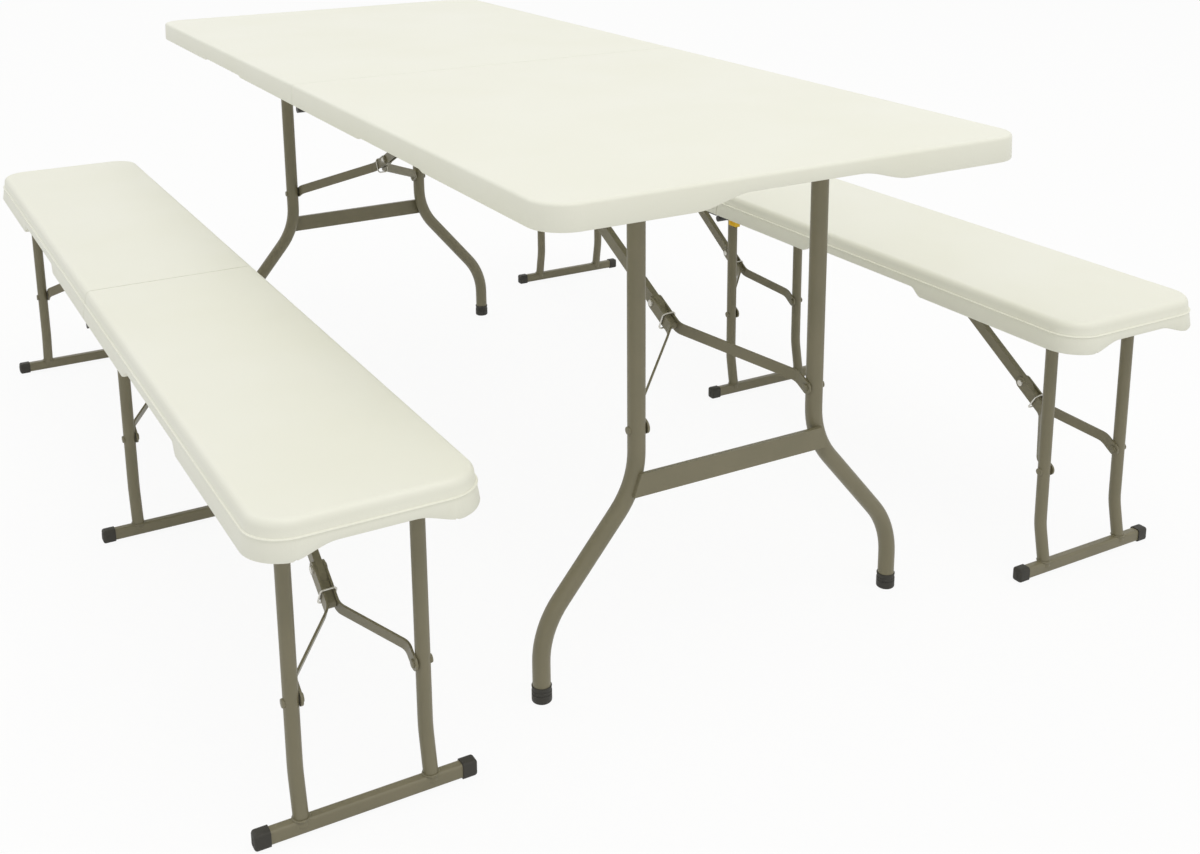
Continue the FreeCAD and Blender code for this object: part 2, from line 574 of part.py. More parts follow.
def link_bracket(kind):
    inner = "link_half + side_gap"
    outer, half = f"{inner} + bracket_skin", "bracket_long / 2"
    spot, under, pivot = f"-{kind}_link_reach", f"{kind}_under", f"{kind}_pivot"
    cheek = extruded(f"{kind}_cheek", outline(f"{kind}_cheek_plan", "XZ", [
        (f"{spot} - {half}", under), (f"{spot} - rivet_head", pivot), (f"{spot} + rivet_head", pivot),
        (f"{spot} + {half}", under)], arcs=(1,), base=("0", f"{outer}", "0")), "bracket_skin")
    plate = box(f"{kind}_bracket_plate", ("bracket_long", f"2 * ({outer})", "bracket_plate"),
                (f"{spot} - {half}", f"-({outer})", f"{under} - bracket_plate"))
    pin = cylinder(f"{kind}_bracket_pin", "pin_radius", f"2 * ({outer})", (spot, f"-({outer})", pivot))
    return fused(f"{kind}_link_bracket", [cheek, mirrored(f"{kind}_cheek_twin", cheek), plate, pin])


def hinge(kind, name, side, slices, with_pin):
    # One leaf of the seam hinge at +Y. side is 1 for the near half and -1 for the far half.
    # slices are the thirds of the leaf's width that carry this leaf's knuckles.
    low, axis, mid = f"{kind}_low", f"{kind}_hinge_z", f"{kind}_hinge_half"
    third, clear = f"{kind}_hinge_width / 3", "knuckle_radius + side_gap"
    begin = clear if side > 0 else "-hinge_leaf"
    pieces = [box(f"{name}_leaf", (f"hinge_leaf - ({clear})", f"{kind}_hinge_width", "hinge_skin"),
                  (begin, f"{mid} - {kind}_hinge_width / 2", f"{low} - hinge_skin"))]
    for i in slices:
        foot, wide = f"{mid} - {kind}_hinge_width / 2 + {i} * {third} + side_gap / 2", f"{third} - side_gap"
        pieces.append(cylinder(f"{name}_knuckle_{i}", "knuckle_radius", wide, ("0", foot, axis)))
        pieces.append(box(f"{name}_tab_{i}", (clear, wide, "hinge_skin"),
                          ("0" if side > 0 else f"-({clear})", foot, f"{low} - hinge_skin")))
    if with_pin:
        pieces.append(cylinder(f"{name}_pin", "hinge_pin", f"{kind}_hinge_width - side_gap",
                               ("0", f"{mid} - {kind}_hinge_width / 2 + side_gap / 2", axis)))
        leaf = fused(f"{name}_solid", pieces)
    else:
        bore = cylinder(f"{name}_bore", "hinge_pin + running_gap", f"{kind}_hinge_width",
                        ("0", f"{mid} - {kind}_hinge_width / 2", axis))
        leaf = cut(f"{name}_solid", fused(f"{name}_blank", pieces), [bore])
    return [leaf, mirrored(f"{name}_twin", leaf)]


def latch(bench, side):
    # The slide under the seat's inner wall and the stud that it runs on. side is the wall's sign.
    middle = f"{side} * (bench_width / 2 - bench_wall / 2)"
    block = box(f"{bench}_latch_block", ("latch_long", "latch_wide", "latch_high"),
                ("latch_start", f"{middle} - latch_wide / 2", "bench_low - side_gap - latch_high"))
    room = "stud_radius + side_gap"
    slot_start = "latch_start + (latch_long - latch_slot) / 2"
    slot = box(f"{bench}_latch_slot", ("latch_slot", f"2 * ({room})", "latch_high + 2 * overrun"),
               (slot_start, f"{middle} - ({room})", "bench_low - side_gap - latch_high - overrun"))
    spot = f"{slot_start} + latch_slot - ({room})"
    length = "latch_high + 2 * side_gap"
    tip, upright = f"bench_low - ({length})", FreeCAD.Rotation()
    stud = cylinder(f"{bench}_stud", "stud_radius", length, (spot, middle, tip), upright)
    end = (spot, middle, f"{tip} - stud_rise")
    head = cylinder(f"{bench}_stud_head", "stud_head", "stud_rise", end, upright)
    return cut(f"{bench}_latch_slide", block, [slot]), fused(f"{bench}_latch_stud", [stud, head])


# Masters, each made once.
panels = {"table": half_panel("table", False), "bench": half_panel("bench", True)}
legs = {"table": table_legs(), "bench": bench_legs()}
feet = {"table": table_feet(), "bench": bench_feet()}
saddles = {}
brackets = {}
braces = {}
hinges = {}
for kind in ("table", "bench"):
    tilt = FreeCAD.Rotation(y_axis, value(f"{kind}_slope"))
    upper = (f"-{kind}_link_reach", "0", f"{kind}_pivot")
    braces[kind] = {}
    for piece, shapes in (("link", brace_link(kind)), ("arms", brace_arms(kind)), ("ring", lock_ring(kind))):
        raised = group(f"{kind}_{piece}_raised", shapes, upper, tilt)
        bind(raised, "Placement.Rotation.Angle", f"{kind}_slope")
        braces[kind][piece] = raised
    saddles[kind] = saddle(kind)
    brackets[kind] = link_bracket(kind)
    hinges[kind] = {"near": hinge(kind, f"{kind}_hinge_near", 1, (0, 2), True),
                    "far": hinge(kind, f"{kind}_hinge_far", -1, (1,), False)}

# Nodes: every master set in its place. A half turn about Z makes the far pieces from the near ones.
half_turn = FreeCAD.Rotation(z_axis, 180)
nodes = []


def node(label, shapes, base, turned=False):
    thing = group(label, shapes, base, half_turn if turned else None)
    thing.Label = label
    nodes.append(thing)
    return thing


def leg_unit(label, kind, base, turned):
    node(f"{label}_legs", legs[kind], base, turned)
    node(f"{label}_feet", feet[kind], base, turned)
    for piece in ("link", "arms", "ring"):
        node(f"{label}_{piece}", braces[kind][piece], base, turned)


def unit_fittings(label, kind, base, turned):
    # Saddles and link bracket of one leg unit, in the set's frame.
    return group(f"{label}_fittings", saddles[kind] + [brackets[kind]], base, half_turn if turned else None)


def folding_set(label, kind, panel, units, base, latch_side=None):
    # units are (name, distance from the seam as an expression, half, folds towards +X).
    ground = (base[0], base[1], "0")
    for half, turned in (("near", False), ("far", True)):
        node(f"{label}_{panel}_{half}", panels[kind], ground, turned)
        held = [unit_fittings(f"{label}_{name}", kind, (distance, "0", "0"), inward)
                for name, distance, side, inward in units if side == half]
        node(f"{label}_brackets_{half}", held, ground)
    leaf = hinges[kind]["near"]
    if latch_side:
        slide, stud = latch(label, latch_side)
        node(f"{label}_latch", slide, ground)
        leaf = leaf + [stud]
    node(f"{label}_hinge_near", leaf, ground)
    node(f"{label}_hinge_far", hinges[kind]["far"], ground)
    for name, distance, side, inward in units:
        leg_unit(f"{label}_{name}", kind, (f"{base[0]} + ({distance})", base[1], "0"), inward)


table_units = [("near", "table_leg_x", "near", False), ("far", "-table_leg_x", "far", True)]
bench_units = [("near", "bench_leg_x", "near", False), ("mid", "-bench_mid_x", "far", False),
               ("far", "-bench_far_x", "far", True)]
folding_set("table", "table", "top", table_units, ("table_shift_x", "table_shift_y"))
folding_set("left", "bench", "seat", bench_units, ("bench_shift_x", "-bench_spread"), 1)
folding_set("right", "bench", "seat", bench_units, ("bench_shift_x", "bench_spread"), -1)

doc.recompute()
for thing in doc.Objects:
    if "Invalid" in thing.State or "Error" in thing.State:
        raise RuntimeError(f"{thing.Name} did not recompute: {thing.State}")
os.makedirs("parts", exist_ok=True)
for thing in nodes:
    if thing.Shape.isNull() or not thing.Shape.isValid() or not thing.Shape.Solids:
        raise RuntimeError(f"{thing.Label} has no valid solid")
    thing.Shape.exportStep(f"parts/{thing.Label}.step")
print(f"{len(nodes)} nodes, {sum(len(n.Shape.Solids) for n in nodes)} solids")
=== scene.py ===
import json
import math

import bpy
from mathutils import Matrix, Vector


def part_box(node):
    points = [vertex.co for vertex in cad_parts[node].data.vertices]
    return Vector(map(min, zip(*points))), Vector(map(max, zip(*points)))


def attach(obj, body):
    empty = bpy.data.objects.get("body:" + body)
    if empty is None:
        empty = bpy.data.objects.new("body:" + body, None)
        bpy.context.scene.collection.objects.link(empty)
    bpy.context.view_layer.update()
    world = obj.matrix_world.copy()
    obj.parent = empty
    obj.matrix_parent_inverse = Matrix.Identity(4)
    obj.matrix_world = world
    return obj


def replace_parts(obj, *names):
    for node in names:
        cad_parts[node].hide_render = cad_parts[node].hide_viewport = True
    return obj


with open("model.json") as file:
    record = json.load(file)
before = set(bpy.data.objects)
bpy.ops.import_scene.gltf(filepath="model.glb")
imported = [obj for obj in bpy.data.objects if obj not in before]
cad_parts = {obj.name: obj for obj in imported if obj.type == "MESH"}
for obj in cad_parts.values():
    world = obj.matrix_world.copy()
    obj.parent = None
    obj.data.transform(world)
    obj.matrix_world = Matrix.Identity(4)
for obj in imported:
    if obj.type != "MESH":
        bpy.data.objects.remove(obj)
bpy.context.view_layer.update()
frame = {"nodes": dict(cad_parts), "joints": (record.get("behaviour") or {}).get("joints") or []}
joints = {j["name"]: j for j in frame["joints"]}

# The three folding sets and their leg units, as they are named in the frame
sets = {
    "table": {"units": ["near", "far"], "panel": "top", "kind": "table"},
    "left": {"units": ["near", "mid", "far"], "panel": "seat", "kind": "bench"},
    "right": {"units": ["near", "mid", "far"], "panel": "seat", "kind": "bench"},
}
halfOf = {"near": "near", "mid": "far", "far": "far"}  # which half carries a unit


# Finishes

def toLinear(hexColour):
    parts = [int(hexColour[i:i + 2], 16) / 255 for i in (0, 2, 4)]
    return [c / 12.92 if c <= 0.04045 else ((c + 0.055) / 1.055) ** 2.4 for c in parts] + [1.0]


def addNode(tree, kind, settings=None, links=None):
    node = tree.nodes.new(kind)
    for key, value in (settings or {}).items():
        if hasattr(node, key):
            setattr(node, key, value)
        else:
            node.inputs[key].default_value = value
    for socket, source in (links or {}).items():
        tree.links.new(source, node.inputs[socket])
    return node


def newFinish(name):
    material = bpy.data.materials.new(name)
    material.use_nodes = True
    material.node_tree.nodes.clear()
    return material, material.node_tree


def perMetre(millimetres):
    return 1000.0 / millimetres


# Blow-moulded polyethylene: ivory, dull, a fine sand grain, and a slow waviness from uneven cooling
moulding = {
    "colour": "f0f0e5", "shade": "eaead9", "cloudSize": 240, "grainSize": 2.2, "grainDepth": 0.00016,
    "waveSize": 90, "waveDepth": 0.0007, "roughness": 0.46, "smoother": 0.05, "rougher": 0.06, "ior": 1.54,
    "waveStrength": 0.35, "grainStrength": 0.5, "dimpleStrength": 0.8,
    "dimplePitch": 46, "dimpleRadius": 0.30, "dimpleDepth": 0.004, "dimpleFloor": 0.45,
    "underLevel": {"table": 0.726, "bench": 0.422}, "underBand": 0.0015, "downFacing": -0.7,
}


def mouldedFinish(kind):
    material, tree = newFinish(kind + "Polyethylene")
    place = addNode(tree, "ShaderNodeTexCoord").outputs["Object"]
    cloud = addNode(tree, "ShaderNodeTexNoise", {"Scale": perMetre(moulding["cloudSize"]), "Detail": 3.0},
                    {"Vector": place})
    tone = addNode(tree, "ShaderNodeMix", {"data_type": "RGBA"}, {"Factor": cloud.outputs["Fac"]})
    tone.inputs[6].default_value = toLinear(moulding["colour"])
    tone.inputs[7].default_value = toLinear(moulding["shade"])
    wave = addNode(tree, "ShaderNodeTexNoise", {"Scale": perMetre(moulding["waveSize"]), "Detail": 1.0},
                   {"Vector": place})
    slow = addNode(tree, "ShaderNodeBump",
                   {"Strength": moulding["waveStrength"], "Distance": moulding["waveDepth"]},
                   {"Height": wave.outputs["Fac"]})
    # grain of about a millimetre on the real sheet, drawn twice as coarse so that it shows
    grain = addNode(tree, "ShaderNodeTexNoise", {"Scale": perMetre(moulding["grainSize"]), "Detail": 2.0},
                    {"Vector": place})
    fine = addNode(tree, "ShaderNodeBump",
                   {"Strength": moulding["grainStrength"], "Distance": moulding["grainDepth"]},
                   {"Height": grain.outputs["Fac"], "Normal": slow.outputs["Normal"]})
    # dimples where the two walls of the hollow moulding are pinched together, on the underside only
    cell = addNode(tree, "ShaderNodeVectorMath",
                   {"operation": "SCALE", "Scale": perMetre(moulding["dimplePitch"])}, {0: place})
    part = addNode(tree, "ShaderNodeVectorMath", {"operation": "FRACTION"}, {0: cell.outputs["Vector"]})
    middle = addNode(tree, "ShaderNodeVectorMath", {"operation": "SUBTRACT"}, {0: part.outputs["Vector"]})
    middle.inputs[1].default_value = (0.5, 0.5, 0.5)
    flat = addNode(tree, "ShaderNodeVectorMath", {"operation": "MULTIPLY"}, {0: middle.outputs["Vector"]})
    flat.inputs[1].default_value = (1.0, 1.0, 0.0)
    away = addNode(tree, "ShaderNodeVectorMath", {"operation": "LENGTH"}, {0: flat.outputs["Vector"]})
    cup = addNode(tree, "ShaderNodeMapRange",
                  {"interpolation_type": "SMOOTHSTEP", "To Min": 0.0, "To Max": 1.0,
                   "From Min": moulding["dimpleRadius"] * moulding["dimpleFloor"],
                   "From Max": moulding["dimpleRadius"]},
                  {"Value": away.outputs["Value"]})
    level = addNode(tree, "ShaderNodeSeparateXYZ", links={0: place}).outputs["Z"]
    under = addNode(tree, "ShaderNodeMath", {"operation": "COMPARE"}, {0: level})
    under.inputs[1].default_value = moulding["underLevel"][kind]
    under.inputs[2].default_value = moulding["underBand"]
    facing = addNode(tree, "ShaderNodeTexCoord").outputs["Normal"]
    turned = addNode(tree, "ShaderNodeSeparateXYZ", links={0: facing}).outputs["Z"]
    downward = addNode(tree, "ShaderNodeMath", {"operation": "LESS_THAN"}, {0: turned})
    downward.inputs[1].default_value = moulding["downFacing"]
    there = addNode(tree, "ShaderNodeMath", {"operation": "MULTIPLY"},
                    {0: under.outputs["Value"], 1: downward.outputs["Value"]})
    depth = addNode(tree, "ShaderNodeMath", {"operation": "MULTIPLY"},
                    {0: cup.outputs["Result"], 1: there.outputs["Value"]})
    pressed = addNode(tree, "ShaderNodeBump",
                      {"Strength": moulding["dimpleStrength"], "Distance": moulding["dimpleDepth"]},
                      {"Height": depth.outputs["Value"], "Normal": fine.outputs["Normal"]})
    gloss = addNode(tree, "ShaderNodeMapRange", {"To Min": moulding["roughness"] - moulding["smoother"],
                                                 "To Max": moulding["roughness"] + moulding["rougher"]},
                    {"Value": grain.outputs["Fac"]})
    shader = addNode(tree, "ShaderNodeBsdfPrincipled", {"IOR": moulding["ior"]},
                     {"Base Color": tone.outputs[2], "Roughness": gloss.outputs["Result"],
                      "Normal": pressed.outputs["Normal"]})
    addNode(tree, "ShaderNodeOutputMaterial", links={"Surface": shader.outputs["BSDF"]})
    return material


# Powder coat on steel tube: taupe, satin, with orange peel and a faint difference in film thickness
powder = {"colour": "817a62", "shade": "757058", "peelSize": 3.0, "peelDepth": 0.00012, "peelStrength": 0.6,
          "filmSize": 60, "roughness": 0.40, "smoother": 0.06, "rougher": 0.08, "ior": 1.5}


def powderFinish():
    material, tree = newFinish("powderCoat")
    place = addNode(tree, "ShaderNodeTexCoord").outputs["Object"]
    film = addNode(tree, "ShaderNodeTexNoise", {"Scale": perMetre(powder["filmSize"]), "Detail": 4.0},
                   {"Vector": place})
    tone = addNode(tree, "ShaderNodeMix", {"data_type": "RGBA"}, {"Factor": film.outputs["Fac"]})
    tone.inputs[6].default_value = toLinear(powder["colour"])
    tone.inputs[7].default_value = toLinear(powder["shade"])
    # peel of about a millimetre and a half, drawn at twice that so that it shows
    peel = addNode(tree, "ShaderNodeTexNoise", {"Scale": perMetre(powder["peelSize"]), "Detail": 2.0},
                   {"Vector": place})
    bump = addNode(tree, "ShaderNodeBump",
                   {"Strength": powder["peelStrength"], "Distance": powder["peelDepth"]},
                   {"Height": peel.outputs["Fac"]})
    gloss = addNode(tree, "ShaderNodeMapRange", {"To Min": powder["roughness"] - powder["smoother"],
                                                 "To Max": powder["roughness"] + powder["rougher"]},
                    {"Value": peel.outputs["Fac"]})
    shader = addNode(tree, "ShaderNodeBsdfPrincipled", {"IOR": powder["ior"]},
                     {"Base Color": tone.outputs[2], "Roughness": gloss.outputs["Result"],
                      "Normal": bump.outputs["Normal"]})
    addNode(tree, "ShaderNodeOutputMaterial", links={"Surface": shader.outputs["BSDF"]})
    return material


# Plain finishes that share one layout: a two-tone mottle, a bump and a roughness that follow one grain
plainFinishes = {
    # moulded rubber: near black, dull, slightly dusty
    "footRubber": {"colour": "2d2b25", "shade": "38362f", "grainSize": 2.0, "depth": 0.0002,
                   "roughness": 0.62, "metal": 0.0},
    # bright zinc plate on wire and rivets: drawn metal, short soft reflections
    "zincPlate": {"colour": "d6d4cc", "shade": "b9b6ac", "grainSize": 5.0, "depth": 0.00006,
                  "roughness": 0.27, "metal": 1.0},
    # black coat on the pressed hinges
    "hingeBlack": {"colour": "2a2824", "shade": "34312c", "grainSize": 3.0, "depth": 0.0001,
                   "roughness": 0.45, "metal": 0.0},
    # injection-moulded latch, strong yellow
    "latchYellow": {"colour": "fccf14", "shade": "f2c00c", "grainSize": 2.5, "depth": 0.0001,
                    "roughness": 0.38, "metal": 0.0},
}
plainSpread = {"strength": 0.5, "gloss": 0.07}


def plainFinish(name):
    look = plainFinishes[name]
    material, tree = newFinish(name)
    place = addNode(tree, "ShaderNodeTexCoord").outputs["Object"]
    grain = addNode(tree, "ShaderNodeTexNoise", {"Scale": perMetre(look["grainSize"]), "Detail": 3.0},
                    {"Vector": place})
    tone = addNode(tree, "ShaderNodeMix", {"data_type": "RGBA"}, {"Factor": grain.outputs["Fac"]})
    tone.inputs[6].default_value = toLinear(look["colour"])
    tone.inputs[7].default_value = toLinear(look["shade"])
    bump = addNode(tree, "ShaderNodeBump", {"Strength": plainSpread["strength"], "Distance": look["depth"]},
                   {"Height": grain.outputs["Fac"]})
    gloss = addNode(tree, "ShaderNodeMapRange", {"To Min": look["roughness"] - plainSpread["gloss"],
                                                 "To Max": look["roughness"] + plainSpread["gloss"]},
                    {"Value": grain.outputs["Fac"]})
    shader = addNode(tree, "ShaderNodeBsdfPrincipled", {"Metallic": look["metal"]},
                     {"Base Color": tone.outputs[2], "Roughness": gloss.outputs["Result"],
                      "Normal": bump.outputs["Normal"]})
    addNode(tree, "ShaderNodeOutputMaterial", links={"Surface": shader.outputs["BSDF"]})
    return material


finishes = {"tableMoulding": mouldedFinish("table"), "benchMoulding": mouldedFinish("bench"),
            "powderCoat": powderFinish()}
finishes.update({name: plainFinish(name) for name in plainFinishes})


def finishOf(node):
    for key, finish in (("_top_", "tableMoulding"), ("_seat_", "benchMoulding"), ("_feet", "footRubber"),
                        ("_ring", "zincPlate"), ("_hinge_", "hingeBlack"), ("_latch", "latchYellow")):
        if key in node:
            return finish
    return "powderCoat"


for name, node in frame["nodes"].items():
    node.data.materials.clear()
    node.data.materials.append(finishes[finishOf(name)])
print("finishes:", len(finishes))


# Modelling helpers

hair = 0.00001  # places closer than this are one place
mostly, fully = 0.9, 0.99  # how far along an axis a face looks, to be chosen as facing that way


def startPiece(name):
    piece = bpy.context.object
    piece.name = name
    piece.data.name = name
    return piece


def clearSelection():
    if bpy.context.object and bpy.context.object.mode != "OBJECT":
        bpy.ops.object.mode_set(mode="OBJECT")
    bpy.ops.object.select_all(action="DESELECT")


def choose(piece, kind, test):
    # Selects the faces or vertices that pass the test, and leaves the piece in edit mode
    bpy.ops.object.mode_set(mode="EDIT")
    bpy.ops.mesh.select_mode(type=kind)
    bpy.ops.mesh.select_all(action="DESELECT")
    bpy.ops.object.mode_set(mode="OBJECT")
    if kind == "FACE":
        for face in piece.data.polygons:
            face.select = test(face.center, face.normal)
    else:
        for vertex in piece.data.vertices:
            vertex.select = test(vertex.co)
    bpy.ops.object.mode_set(mode="EDIT")


def chooseFaces(piece, test):
    choose(piece, "FACE", test)


def chooseVerts(piece, test):
    choose(piece, "VERT", test)


def bakePlace(piece):
    bpy.ops.object.mode_set(mode="OBJECT")
    bpy.ops.object.select_all(action="DESELECT")
    piece.select_set(True)
    bpy.context.view_layer.objects.active = piece
    bpy.ops.object.transform_apply(location=True, rotation=True, scale=True)


def copyTo(master, name, matrix, body, finish):
    copy = master.copy()
    copy.data = master.data.copy()
    copy.name = name
    copy.data.transform(matrix)
    bpy.context.collection.objects.link(copy)
    copy.data.materials.clear()
    copy.data.materials.append(finishes[finish])
    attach(copy, body)
    return copy


def towards(place, axis):
    # A matrix that stands a piece modelled up +Z at a place, with +Z turned to an axis
    turn = Vector((0, 0, 1)).rotation_difference(Vector(axis))
    return Matrix.Translation(Vector(place)) @ turn.to_matrix().to_4x4()


def sideMark(side):
    return "_a" if side < 0 else "_b"


def legUnits(kind):
    # The name, the leg pivot and the way of folding of each leg unit, of the table or of both benches
    for setName, layout in sets.items():
        if layout["kind"] == kind:
            for unit in layout["units"]:
                fold = joints[setName + "_" + unit + "_leg_fold"]
                yield setName + "_" + unit, Vector(fold["pos_m"]), fold["axis"][1]


# Moulded panels: slab and skirt of a whole top or seat, cut at the seam and copied for each half.
# A wall goes up from the lip in steps: inwards (below zero is outwards) and up
panel = {
    "table": {"length": 1.800, "width": 0.740, "skirt": 0.035, "slab": 0.014, "wall": 0.014, "corner": 0.048,
              "lip": 0.0025, "seam": 0.0004, "crownIn": 0.0045, "crownUp": 0.0045, "crownSteps": 5,
              "steps": [(0.0010, 0.0280)],
              "archHalf": 0.165, "archEase": 0.080, "archRise": 0.015, "bossHalf": 0.318,
              "recess": (0.299, 0.547), "recessEase": 0.016, "recessRise": 0.003},
    "bench": {"length": 1.834, "width": 0.284, "skirt": 0.048, "slab": 0.018, "wall": 0.012, "corner": 0.055,
              "lip": 0.0035, "seam": 0.0008, "crownIn": 0.0090, "crownUp": 0.0108, "crownSteps": 8,
              # skirt, then the bead, the groove above it and the leaning wall
              "steps": [(0.0036, 0.0223), (-0.0010, 0.0006), (-0.0002, 0.0008), (0.0006, 0.0008),
                        (0.0018, 0.0004), (0.0004, 0.0014), (0.0010, 0.0074)],
              "archHalf": 0.104, "archEase": 0.058, "archRise": 0.013, "bossHalf": 0.116,
              "recess": (0.274, 0.590), "recessEase": 0.026, "recessRise": 0.012},
}
moulded = {"cornerSides": 16, "brim": 0.006, "lipShare": 0.3, "rimRound": 0.0012, "rimBand": 0.0002,
           "draft": 0.0008, "easeSteps": 10, "endBand": 0.008, "sideBand": 0.004, "smooth": 38,
           "seamWall": 0.00875, "seamSlack": 0.0006, "seamLift": 0.0004, "bossLong": 0.046, "blockSmooth": 30}


def climb(size, steps):
    # Raises the chosen face by steps that draw it in or let it out
    inset = 0.0
    for inwards, up in steps:
        if inwards > 0:
            bpy.ops.mesh.inset(thickness=inwards, depth=up, use_even_offset=True)
        else:
            bpy.ops.mesh.extrude_region_move(TRANSFORM_OT_translate={"value": (0, 0, up)})
            grown = [(size[side] / 2 - inset - inwards) / (size[side] / 2 - inset)
                     for side in ("length", "width")]
            bpy.ops.transform.resize(value=(grown[0], grown[1], 1), center_override=(0, 0, 0))
        inset += inwards


def crownSteps(size):
    turns = [math.pi / 2 * i / size["crownSteps"] for i in range(size["crownSteps"] + 1)]
    return [(size["crownIn"] * (math.cos(a) - math.cos(b)), size["crownUp"] * (math.sin(b) - math.sin(a)))
            for a, b in zip(turns, turns[1:])]


def easeIn(share):
    share = min(max(share, 0.0), 1.0)
    return share * share * (3 - 2 * share)


def liftRim(piece, size, axis, spots, onSide, onRim, rise):
    # Cuts the skirt across at the spots, then lifts its lower rim there along the skirt's lean
    across = Vector((1, 0, 0)) if axis == 0 else Vector((0, 1, 0))
    for spot in spots:
        chooseFaces(piece, lambda centre, normal: onSide(centre) and centre.z < size["skirt"] - size["slab"])
        bpy.ops.mesh.bisect(plane_co=across * spot, plane_no=across)
    bpy.ops.object.mode_set(mode="OBJECT")
    low = size["lip"] + moulded["rimBand"]
    lean = size["steps"][0][0] / size["steps"][0][1]
    places = sorted({round(v.co[axis], 5) for v in piece.data.vertices if onRim(v.co) and v.co.z < low})
    for place in places:
        lift = rise(abs(place))
        for sign in (-1, 1):
            if lift > 0:
                chooseVerts(piece, lambda co: onRim(co) and co.z < low and abs(co[axis] - place) < hair
                            and co[1 - axis] * sign > 0)
                inwards = -sign * lean * lift
                bpy.ops.transform.translate(value=(0, inwards, lift) if axis == 0 else (inwards, 0, lift))


def modelPanel(kind):
    size = panel[kind]
    clearSelection()
    bpy.ops.mesh.primitive_plane_add(size=1, location=(0, 0, size["lip"]))
    piece = startPiece(kind + "PanelMaster")
    piece.scale = (size["length"], size["width"], 1)
    bakePlace(piece)
    chooseVerts(piece, lambda co: True)
    bpy.ops.mesh.bevel(offset=size["corner"], segments=moulded["cornerSides"], affect="VERTICES")
    chooseFaces(piece, lambda centre, normal: True)
    climb(size, size["steps"] + crownSteps(size))
    bpy.ops.mesh.inset(thickness=moulded["brim"], depth=0)
    # the underside: lip, rim, inner edge and the hollow
    chooseVerts(piece, lambda co: co.z < size["lip"] + hair)
    bpy.ops.mesh.edge_face_add()
    bpy.ops.mesh.select_all(action="SELECT")
    bpy.ops.mesh.normals_make_consistent(inside=False)
    chooseFaces(piece, lambda centre, normal: centre.z < size["lip"] + hair and normal.z < -mostly)
    rim = size["wall"] - size["lip"] - moulded["rimRound"]
    less, more = size["lip"] * moulded["lipShare"], size["lip"] * (1 - moulded["lipShare"])
    for inwards, down in ((less, more), (more, less), (rim, 0), (moulded["rimRound"], -moulded["rimRound"]),
                          (moulded["draft"], moulded["rimRound"] + size["slab"] - size["skirt"])):
        bpy.ops.mesh.inset(thickness=inwards, depth=down, use_even_offset=True)
    # the arch in each end skirt and the recess in each long skirt
    steps = [i / moulded["easeSteps"] for i in range(moulded["easeSteps"] + 1)]
    end = size["length"] / 2 - size["wall"] - moulded["endBand"]
    side = size["width"] / 2 - size["wall"] - moulded["sideBand"]
    inner, outer = size["recess"]
    liftRim(piece, size, 1, [s * (size["archHalf"] - size["archEase"] * t) for s in (-1, 1) for t in steps],
            lambda co: abs(co.x) > end, lambda co: abs(co.x) > end and abs(co.y) < size["archHalf"] + hair,
            lambda y: size["archRise"] * easeIn((size["archHalf"] - y) / size["archEase"]))
    liftRim(piece, size, 0, [s * x for s in (-1, 1) for t in steps
                             for x in (inner + size["recessEase"] * t, outer - size["recessEase"] * t)],
            lambda co: abs(co.y) > side,
            lambda co: abs(co.y) > side and inner - hair < abs(co.x) < outer + hair,
            lambda x: size["recessRise"] * easeIn(min(x - inner, outer - x) / size["recessEase"]))
    chooseFaces(piece, lambda centre, normal: True)
    bpy.ops.mesh.bisect(plane_co=(size["seam"], 0, 0), plane_no=(1, 0, 0), clear_inner=True, use_fill=True)
    bpy.ops.mesh.select_all(action="SELECT")
    bpy.ops.mesh.normals_make_consistent(inside=False)
    bpy.ops.object.mode_set(mode="OBJECT")
    bpy.ops.object.shade_smooth_by_angle(angle=math.radians(moulded["smooth"]))
    return piece


def modelSeamBlock(kind):
    # The wall that closes the hollow at the seam, with a boss at each side for the hinge leaves
    size = panel[kind]
    clearSelection()
    half = size["width"] / 2 - size["wall"] - moulded["seamSlack"]
    deep = size["skirt"] - size["slab"]
    middle = (size["seam"] + moulded["seamWall"]) / 2
    bpy.ops.mesh.primitive_cube_add(size=1, location=(middle, 0, deep / 2 + moulded["seamLift"]))
    piece = startPiece(kind + "SeamMaster")
    piece.scale = (moulded["seamWall"] - size["seam"], 2 * half, deep)
    bakePlace(piece)
    for edge in (-size["bossHalf"], size["bossHalf"]):
        chooseFaces(piece, lambda centre, normal: True)
        bpy.ops.mesh.bisect(plane_co=(0, edge, 0), plane_no=(0, 1, 0))
    chooseFaces(piece, lambda centre, normal: normal.x > mostly and abs(centre.y) > size["bossHalf"])
    bossOut = moulded["bossLong"] - moulded["seamWall"]
    bpy.ops.mesh.extrude_region_move(TRANSFORM_OT_translate={"value": (bossOut, 0, 0)})
    bpy.ops.object.mode_set(mode="OBJECT")
    bpy.ops.object.shade_smooth_by_angle(angle=math.radians(moulded["blockSmooth"]))
    return piece


def placePanels():
    masters = {kind: (modelPanel(kind), modelSeamBlock(kind)) for kind in panel}
    for setName, layout in sets.items():
        axis = Vector(joints[setName + "_fold"]["pos_m"])
        for half, turn in (("near", 0), ("far", math.pi)):
            node = setName + "_" + layout["panel"] + "_" + half
            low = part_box(node)[0][2]
            place = Matrix.Translation((axis.x, axis.y, low)) @ Matrix.Rotation(turn, 4, "Z")
            body, finish = setName + "_" + half + "_half", layout["kind"] + "Moulding"
            shell, block = masters[layout["kind"]]
            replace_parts(copyTo(shell, "panel_" + setName + "_" + half, place, body, finish), node)
            copyTo(block, "seamBlock_" + setName + "_" + half, place, body, finish)
    for pair in masters.values():
        for master in pair:
            bpy.data.objects.remove(master)
    print("panels placed")


placePanels()

